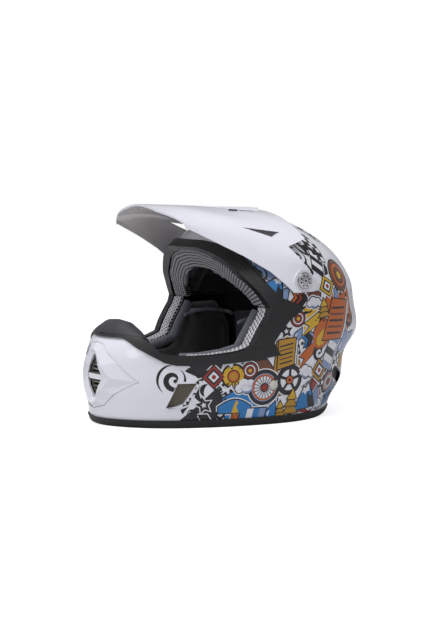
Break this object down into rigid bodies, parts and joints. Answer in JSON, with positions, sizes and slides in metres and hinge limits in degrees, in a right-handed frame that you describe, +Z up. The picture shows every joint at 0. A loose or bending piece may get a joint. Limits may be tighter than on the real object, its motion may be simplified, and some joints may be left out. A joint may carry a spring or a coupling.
{
  "type": "full face bicycle helmet",
  "caption": "Full face downhill bicycle helmet with tilting visor, chin bar, vents, padded lining and double ring strap.",
  "frame": {"origin": "on the surface that the helmet stands on, under the middle of its box", "axes": "+Z up, the face looks along -Y, the wearer's left is +X"},
  "size_m": [0.2578, 0.3565, 0.257],
  "materials": {
    "shell_gloss": "glossy clear coat over white",
    "visor_gloss": "glossy white, printed",
    "trim_black": "satin moulded black",
    "guard_rubber": "soft black rubber",
    "edge_rubber": "matt black rubber",
    "vent_mesh": "dark bronze mesh",
    "grille_black": "matt moulded black",
    "foam": "black expanded foam",
    "liner_mesh": "grey fabric with rows of small holes",
    "pad_cloth": "black brushed fabric",
    "suede": "grey-blue suede cloth",
    "snap_plate": "moulded black",
    "screw_metal": "turned and bead blasted",
    "nut_metal": "zinc plated",
    "washer": "soft black",
    "webbing": "woven black webbing",
    "rivet_paint": "painted off-white",
    "plate_steel": "polished steel"
  },
  "bodies": {
    "helmet": {"outer_shell": "shell_gloss", "eyeport_trim": "trim_black", "nose_guard": "guard_rubber", "edge_rubber": "edge_rubber", "chin_vent_cover": "shell_gloss", "chin_grille": "grille_black", "side_vents": "vent_mesh", "crown_vents": "vent_mesh", "rear_vents": "vent_mesh", "crown_foam": "foam", "chin_foam": "foam", "brow_liner": "liner_mesh", "crown_pad": "pad_cloth", "neck_roll": "suede", "strap_short": "webbing", "strap_long": "webbing", "strap_snap": "snap_plate", "cheek_foam_left": "foam", "cheek_foam_right": "foam", "cheek_plate_left": "snap_plate", "cheek_plate_right": "snap_plate", "cheek_pad_left": "pad_cloth", "cheek_pad_right": "pad_cloth", "cheek_mesh_left": "liner_mesh", "cheek_mesh_right": "liner_mesh", "cheek_piping_left": "suede", "cheek_piping_right": "suede", "visor_washers": "washer", "visor_nuts": "nut_metal", "strap_rivets": "rivet_paint", "strap_plates": "plate_steel"},
    "visor": {"visor": "visor_gloss"},
    "visor_screw_left": {"visor_screw_left": "screw_metal"},
    "visor_screw_right": {"visor_screw_right": "screw_metal"},
    "d_ring_upper": {"d_ring_upper": "plate_steel"},
    "d_ring_lower": {"d_ring_lower": "plate_steel"}
  },
  "joints": [
    {"name": "visor_tilt", "type": "hinge", "parent": "helmet", "child": "visor", "pos_m": [0, 0.0374, 0.1684], "axis": [1, 0, 0], "range_deg": [-10, 6]},
    {"name": "screw_turn_left", "type": "hinge", "parent": "helmet", "child": "visor_screw_left", "pos_m": [0.125, 0.0374, 0.1684], "axis": [1, 0, 0], "continuous": true},
    {"name": "screw_turn_right", "type": "hinge", "parent": "helmet", "child": "visor_screw_right", "pos_m": [-0.125, 0.0374, 0.1684], "axis": [1, 0, 0], "continuous": true},
    {"name": "ring_swing_upper", "type": "hinge", "parent": "helmet", "child": "d_ring_upper", "pos_m": [0.056, 0.0024, 0.0098], "axis": [0, 1, 0], "range_deg": [0, 80]},
    {"name": "ring_swing_lower", "type": "hinge", "parent": "helmet", "child": "d_ring_lower", "pos_m": [0.056, 0.0024, 0.0062], "axis": [0, 1, 0], "range_deg": [-80, 0]}
  ]
}
